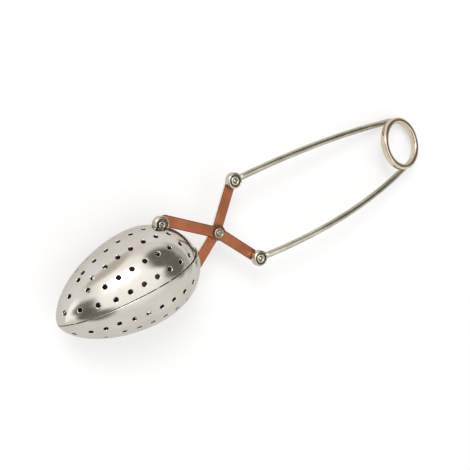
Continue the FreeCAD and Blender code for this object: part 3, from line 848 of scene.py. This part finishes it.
def plate(outline, bores, low, high, edge):
    """Flat plate with eased edges and eased round bores."""
    loops = [without_repeats(outline)]
    loops += [arc_points(centre, radius, 0, -2 * math.pi, 40)[:-1] for centre, radius in bores]
    vertices, faces, tops, bottoms = [], [], [], []
    for loop in loops:
        rings = []
        for step in range(EDGE_STEPS + 1):
            angle = math.pi / 2 * step / EDGE_STEPS
            rings.append((edge * (1 - math.sin(angle)), high - edge * (1 - math.cos(angle))))
        rings += [(inset, low + high - height) for inset, height in reversed(rings)]
        stack = []
        for inset, height in rings:
            ring = offset_loop(loop, inset)
            stack.append(next_numbers(vertices, len(ring)))
            vertices += [Vector((point.x, point.y, height)) for point in ring]
        for upper, lower in zip(stack, stack[1:]):
            for index in range(len(loop)):
                faces.append([upper[index - 1], upper[index], lower[index], lower[index - 1]])
        tops.append(stack[0])
        bottoms.append(stack[-1])
    for caps in (tops, bottoms):
        order, local = [], []
        for cap in caps:
            local.append(next_numbers(order, len(cap)))
            order += cap
        flats = [vertices[index].to_2d() for index in order]
        faces += [[order[index] for index in corners] for corners in triangles_inside(flats, local)]
    return vertices, faces


def lever(name, node, body, bend, lug, rear, low, centre_bore, cutter):
    """Cranked lever with its bores, its front end trimmed to the egg."""
    outline = lever_outline([[bend, lug], [rear]])
    bores = [(Vector((0, 0)), centre_bore), (lug, RIVET_RADIUS), (rear, RIVET_RADIUS)]
    vertices, faces = plate(outline, bores, low, low + LEVER_THICKNESS, LEVER_BEVEL)
    piece = machined(name, vertices, faces, cutter)
    piece = place_piece(piece, COPPER, body, node)
    piece.data.materials.append(BARE_EDGE_AND_HIGHLIGHT)
    piece.data.materials.append(DARK_REFLECTION_BEVEL)
    for face in piece.data.polygons:
        upright = abs(face.normal.dot(RIVET_AXIS))
        # Sides get the pale bare steel, which is partly a painted highlight line.
        if upright < SIDE_FACE:
            face.material_index = 1
        # Bevels get the near-black copper as a painted dark reflection.
        elif upright < TOP_FACE:
            face.material_index = 2
    return piece


# ---- eyes and rivets
def paint_recess_shade(piece, at, turned_over, bands):
    """Painted shade: a dark material on the faces in some bands round an upright axis: (least, greatest
    radius, lowest, highest).
    """
    piece.data.materials.append(RECESS_SHADE)
    for face in piece.data.polygons:
        point = TO_LOCAL @ face.center
        reach = (point - at).to_2d().length
        height = point.z if turned_over is None else 2 * turned_over - point.z
        for least, greatest, low, high in bands:
            if least < reach < greatest and low < height < high:
                face.material_index = 1
    return piece


def eye(name, node, body, at, base, bore, cutter=None, turned_over=None):
    """Turned eye: a rounded boss with a recess for the rivet's head."""
    section = rounded([
        (bore, base, BORE_EDGE),
        (EYE_RADIUS, base, EYE_BASE_EDGE),
        (EYE_RADIUS, base + EYE_HEIGHT, EYE_SHOULDER),
        (RECESS_RADIUS, base + EYE_HEIGHT, RECESS_EDGE),
        (RECESS_RADIUS, base + EYE_HEIGHT - RECESS_DEPTH, RECESS_CORNER),
        (bore, base + EYE_HEIGHT - RECESS_DEPTH, FLOOR_EDGE),
    ])
    vertices, faces = lathe(section, EYE_SEGMENTS)
    piece = machined(name, seated(vertices, at, turned_over), faces, cutter)
    piece = place_piece(piece, NICKEL, body, node)
    top = base + EYE_HEIGHT
    # The recess floor and its corner get the dark material as painted shade.
    band = (bore, RECESS_RADIUS + 0.05, top - RECESS_DEPTH - 0.1, top - 0.2)
    return paint_recess_shade(piece, at, turned_over, [band])


def rivet(name, node, body, at, low, high, radius, head, tail, face, cutter=None, turned_over=None):
    """Rivet whose head carries the given face, a list of (radius, drop below the head's top).

    A tail of None leaves its lower end flat.  Painted shade, a dark material, lies in the face's groove and
    under the rim; the bands for it reach a little past the faces that they are for.
    """
    top = high + HEAD_HEIGHT
    section = [(0, top - face[0][1])]
    section += [(reach, top - drop) for reach, drop in face]
    section += [(head, top - RIM_DROP), (head, high + UNDERCUT_UP), (head - UNDERCUT_IN, high)]
    section += [(radius, high), (radius, low)]
    if tail:
        section += [(tail * out, low - HEAD_HEIGHT * down) for out, down in TAIL_SHAPE]
        section.append((0, low - HEAD_HEIGHT))
    else:
        section.append((0, low))
    vertices, faces = lathe(section, closed=False)
    piece = machined(name, seated(vertices, at, turned_over), faces, cutter)
    piece = place_piece(piece, NICKEL, body, node)
    deep = max(drop for _, drop in face)
    groove = [reach for reach, drop in face if drop > deep * 0.8]
    # The face's groove and the underside of the rim get the dark material as painted shade.
    bands = [(min(groove) - 0.06, max(groove) + 0.04, top - deep - 0.1, top - deep * 0.6)]
    return paint_recess_shade(piece, at, turned_over, bands + [(head - 0.05, head + 0.1, high - 0.1, top - 0.18)])


# A bump in the middle, a groove round it and a rolled rim: parts of the head's radius,
# and drops below the head's top.
HOLLOW_FACE = [
    (0.125, 0.2), (0.225, 0.26), (0.31, 0.45), (0.4, 0.5), (0.5, 0.44), (0.56, 0.2),
    (0.625, 0.07), (0.725, 0.0), (0.825, 0.01), (0.925, 0.07), (0.98, 0.16),
]


def hollow_face(head):
    """Face of a tubular rivet."""
    return [(head * out, drop) for out, drop in HOLLOW_FACE]


# ---- handle
RING_TURN = Matrix.Rotation(RING_PITCH, 4, "Y") @ Matrix.Rotation(RING_ROLL, 4, "X")
RING_PLACE = Matrix.Translation((RING_DISTANCE, 0, 0)) @ RING_TURN


def behind_ring(reach, degrees):
    """Point of a leg's centre line where it follows the back of the ring."""
    angle = math.radians(degrees)
    depth = -WIRE_RADIUS - RING_CLEARANCE
    return RING_PLACE @ Vector((reach * math.cos(angle), reach * math.sin(angle), depth))


def tangent_arc(start, direction, finish, steps, stop_short):
    """Points of the arc that leaves start along direction and would pass through finish."""
    chord = finish - start
    direction = direction.normalized()
    lean = direction.angle(chord)
    radius = chord.length / (2 * math.sin(lean))
    inward = (chord - direction * chord.dot(direction)).normalized()
    sweep = 2 * lean - stop_short / radius
    points = []
    for step in range(steps + 1):
        angle = sweep * step / steps
        ahead, aside = radius * math.sin(angle), radius * (1 - math.cos(angle))
        points.append(start + direction * ahead + inward * aside)
    return points


def leg(which, joint, face, course, side):
    """Bowed wire from its eye to the ring, whose back it follows a little way."""
    reach, wrap, tail_wrap = course
    parts = [step / LEG_TAIL_STEPS for step in range(LEG_TAIL_STEPS, 0, -1)]
    tail = [behind_ring(reach, side * (90 - wrap - tail_wrap * part)) for part in parts]
    slope = math.radians(wrap)
    direction = RING_TURN.to_3x3() @ Vector((-math.cos(slope), side * math.sin(slope), 0))
    eye_middle = Vector((joint.x, joint.y, face + FACE_CLEARANCE + EYE_HEIGHT / 2))
    touch = behind_ring(reach, side * (90 - wrap))
    path = tail + tangent_arc(touch, direction, eye_middle, LEG_STEPS, RECESS_RADIUS + 0.3)
    vertices, faces = tube(path)
    piece = machined(which + "_spring_leg", vertices, faces)
    return place_piece(piece, WIRE, which + "_leg", which + "_leg")


def finger_ring():
    """Closed ring of rounded section, turned about its own axis."""
    inner, outer = RING_RADIUS - RING_RADIAL / 2, RING_RADIUS + RING_RADIAL / 2
    section = rounded(band(inner, outer, 0, RING_HEIGHT, RING_CORNER), 8)
    vertices, faces = lathe(section, RING_SEGMENTS)
    piece = machined("polished_finger_ring", [RING_PLACE @ vertex for vertex in vertices], faces)
    return place_piece(piece, RING_METAL, "lower_leg", "finger_ring")


# ---- assembly
def peened_face(head, rows=18):
    """Hammered face: a low bump in the middle, a shallow groove round it and a rolled rim."""
    face = []
    for row in range(1, rows + 1):
        part = row / rows
        groove = math.exp(-((part - 0.58) / 0.09) ** 2)
        rim = math.exp(-((part - 0.78) / 0.14) ** 2)
        drop = PEEN_DEPTH * (1 + groove - rim) + 0.1 * max(part - 0.85, 0)
        face.append((head * 0.95 * part, drop))
    return face


def hammer(piece, height):
    """Shallow hammer marks on the centre rivet's face, above a height."""
    for vertex in piece.data.vertices:
        point = TO_LOCAL @ vertex.co
        if point.z > height and point.to_2d().length < CENTRE_HEAD * 0.9:
            mark = noise.noise(Vector((point.x, point.y, 0)) * HAMMER_PITCH + Vector((3.1, 0.7, 0)))
            vertex.co -= RIVET_AXIS * (HAMMER_DEPTH * MM * max(mark + 0.1, 0))


UPPER_FRONT = lug_point(1)
LOWER_FRONT = lug_point(-1)
upper_cutter = egg_cutter(EGG_LENGTH)
lower_cutter = egg_cutter(EGG_LENGTH + OVERHANG)

shell("perforated_upper_shell", "upper_shell", True, UPPER_FRONT, "front_half")
shell("perforated_lower_shell", "lower_shell", False, LOWER_FRONT, "back_half")

UPPER_BEND = Vector((-math.cos(FRONT_ARM_ANGLE), math.sin(FRONT_ARM_ANGLE))) * FRONT_ARM
LOWER_BEND = Vector((UPPER_BEND.x, -UPPER_BEND.y))
lever(
    "copper_front_lever", "front_lever", "front_half", UPPER_BEND, UPPER_FRONT.to_2d(),
    LOWER_REAR.to_2d(), FRONT_BOTTOM, CENTRE_RIVET + RUNNING, upper_cutter,
)
lever(
    "copper_back_lever", "back_lever", "back_half", LOWER_BEND, LOWER_FRONT.to_2d(),
    UPPER_REAR.to_2d(), BACK_BOTTOM, CENTRE_RIVET, lower_cutter,
)

# The upper lug stands on the front lever; the lower one hangs under the back lever.
LUGS = [
    ("upper", "front_half", UPPER_FRONT, FRONT_TOP, FRONT_BOTTOM, upper_cutter, None),
    ("lower", "back_half", LOWER_FRONT, BACK_TOP, BACK_BOTTOM, lower_cutter, (BACK_TOP + BACK_BOTTOM) / 2),
]
for side, body, at, face, rivet_low, cutter, turned_over in LUGS:
    eye(side + "_saddle_lug", side + "_shell_lug", body, at, face, RIVET_RADIUS, cutter, turned_over)
    rivet(
        side + "_front_tubular_rivet", side + "_front_rivet", body, at, rivet_low,
        face + EYE_HEIGHT - RECESS_DEPTH, RIVET_RADIUS, FRONT_HEAD, None, hollow_face(FRONT_HEAD),
        cutter, turned_over,
    )
REAR_JOINTS = [
    ("upper", "back_half", UPPER_REAR, BACK_TOP, BACK_BOTTOM, RUNNING),
    ("lower", "front_half", LOWER_REAR, FRONT_TOP, FRONT_BOTTOM, OPEN_PIVOT),
]
for side, body, at, face, rivet_low, play in REAR_JOINTS:
    base = face + FACE_CLEARANCE
    eye(side + "_turned_eye", side + "_leg_eye", side + "_leg", at, base, RIVET_RADIUS + play)
    rivet(
        side + "_rear_tubular_rivet", side + "_rear_rivet", body, at, rivet_low,
        base + EYE_HEIGHT - RECESS_DEPTH + FACE_CLEARANCE, RIVET_RADIUS, RIVET_HEAD, TAIL_RADIUS,
        hollow_face(RIVET_HEAD),
    )
centre_piece = rivet(
    "peened_centre_rivet", "centre_rivet", "back_half", Vector(), BACK_BOTTOM, FRONT_TOP + FACE_CLEARANCE,
    CENTRE_RIVET, CENTRE_HEAD, CENTRE_HEAD, peened_face(CENTRE_HEAD),
)
# The marks leave the head's underside as it is.
hammer(centre_piece, FRONT_TOP + FACE_CLEARANCE + 0.1)
centre_piece.data.materials[0] = HAMMERED
washer_section = rounded(band(CENTRE_RIVET, LEVER_BOSS, BACK_TOP, 0, WASHER_EDGE))
washer = machined("spacer_washer", *lathe(washer_section))
place_piece(washer, NICKEL, "back_half", "centre_washer")

leg("upper", UPPER_REAR, BACK_TOP, UPPER_LEG, 1)
leg("lower", LOWER_REAR, FRONT_TOP, LOWER_LEG, -1)
finger_ring()

for cutter in (upper_cutter, lower_cutter):
    bpy.data.objects.remove(cutter)


# ---- floor, light, camera
def direction(azimuth, elevation):
    """Unit vector from degrees: azimuth from +X towards +Y, elevation above the floor."""
    turn, rise = math.radians(azimuth), math.radians(elevation)
    return Vector((math.cos(turn) * math.cos(rise), math.sin(turn) * math.cos(rise), math.sin(rise)))


def make_floor(reach):
    material = bpy.data.materials.new("pale_floor")
    material.use_nodes = True
    shader = material.node_tree.nodes["Principled BSDF"]
    inputs = {
        "Base Color": (*FLOOR_TONE, 1), "Roughness": 0.7, "Specular IOR Level": 0.1,
        "Emission Color": (*FLOOR_GLOW, 1), "Emission Strength": 1.0,
    }
    for key, value in inputs.items():
        shader.inputs[key].default_value = value
    mesh = bpy.data.meshes.new("floor")
    corners = [(-reach, -reach, 0), (reach, -reach, 0), (reach, reach, 0), (-reach, reach, 0)]
    mesh.from_pydata(corners, [], [(0, 1, 2, 3)])
    mesh.materials.append(material)
    floor = bpy.data.objects.new("floor", mesh)
    bpy.context.scene.collection.objects.link(floor)


def soft_light(name, towards, distance, width, power):
    """Square soft box that looks at the middle of the infuser from a direction."""
    data = bpy.data.lights.new(name, "AREA")
    data.shape = "SQUARE"
    data.size = width
    data.energy = power
    light = bpy.data.objects.new(name, data)
    light.location = towards * distance
    light.rotation_euler = towards.to_track_quat("Z", "Y").to_euler()
    bpy.context.scene.collection.objects.link(light)


def studio_world(base, patches, ripple_scale, ripple):
    """Soft studio all round: a base tone with round patches of other tones blended into it.

    Each patch is (azimuth, elevation, inner, outer, tone), its radii in degrees.  Ripples
    sway the patches' outlines.
    """
    world = bpy.data.worlds.new("studio")
    world.use_nodes = True
    tree = world.node_tree
    tree.nodes.clear()
    place = add_node(tree, "ShaderNodeTexCoord").outputs["Generated"]
    inputs = {"Vector": place, "Scale": ripple_scale, "Detail": 2.0}
    waves = add_node(tree, "ShaderNodeTexNoise", inputs).outputs["Color"]
    centred = calculate(tree, VECTOR, "SUBTRACT", waves, (0.5, 0.5, 0.5))
    swayed = calculate(tree, VECTOR, "MULTIPLY_ADD", centred, (ripple,) * 3, place)
    looking = calculate(tree, VECTOR, "NORMALIZE", swayed)
    colour = (*base, 1)
    for azimuth, elevation, inner, outer, tone in patches:
        along = calculate(tree, VECTOR, "DOT_PRODUCT", looking, direction(azimuth, elevation), output="Value")
        edge, heart = math.cos(math.radians(outer)), math.cos(math.radians(inner))
        cover = add_node(
            tree, "ShaderNodeMapRange", {"Value": along, "From Min": edge, "From Max": heart},
            interpolation_type="SMOOTHSTEP",
        ).outputs["Result"]
        colour = blend(tree, cover, colour, (*tone, 1))
    shader = add_node(tree, "ShaderNodeBackground", {"Color": colour, "Strength": 1.0})
    add_node(tree, "ShaderNodeOutputWorld", {"Surface": shader.outputs[0]})
    bpy.context.scene.world = world


FLOOR_TONE = (0.50, 0.50, 0.502)
FLOOR_GLOW = (0.43, 0.43, 0.434)
STUDIO_BASE = (1.06, 1.05, 1.02)
STUDIO_PATCHES = [
    (100, 75, 25, 55, (1.52, 1.51, 1.49)),
    (97, 40, 14, 34, (1.50, 1.48, 1.44)),
    (165, 4, 14, 32, (1.6, 1.6, 1.6)),
    (102, 1, 14, 26, (0.74, 0.69, 0.60)),
    (10, 0, 18, 40, (0.62, 0.60, 0.54)),
    (2, 36, 14, 25, (0.19, 0.18, 0.15)),
    (40, 34, 16, 27, (0.19, 0.18, 0.15)),
    (160, 33, 9, 19, (0.24, 0.23, 0.19)),
    (-176, 43, 12, 22, (0.19, 0.18, 0.155)),
    (-146, 50, 10, 20, (0.22, 0.21, 0.18)),
]
make_floor(reach=3.0)
studio_world(STUDIO_BASE, STUDIO_PATCHES, ripple_scale=1.4, ripple=0.35)
soft_light("key", direction(108, 50), distance=0.9, width=0.30, power=2.6)
bpy.context.scene.view_settings.view_transform = "Standard"

CAMERA_PLACE = Vector((-0.13695, 0.10117, 0.31772))
CAMERA_RIGHT = Vector((0.84833, -0.28135, 0.44853))
CAMERA_UP = Vector((0.38369, 0.91042, -0.15462))
CAMERA_SENSOR = 36
CAMERA_LENS = 69.235
camera_data = bpy.data.cameras.new("camera")
camera_data.sensor_width = CAMERA_SENSOR
camera_data.lens = CAMERA_LENS
camera = bpy.data.objects.new("camera", camera_data)
axes = Matrix([CAMERA_RIGHT, CAMERA_UP, CAMERA_RIGHT.cross(CAMERA_UP)]).transposed().to_4x4()
camera.matrix_world = Matrix.Translation(CAMERA_PLACE) @ axes
bpy.context.scene.collection.objects.link(camera)
bpy.context.scene.camera = camera
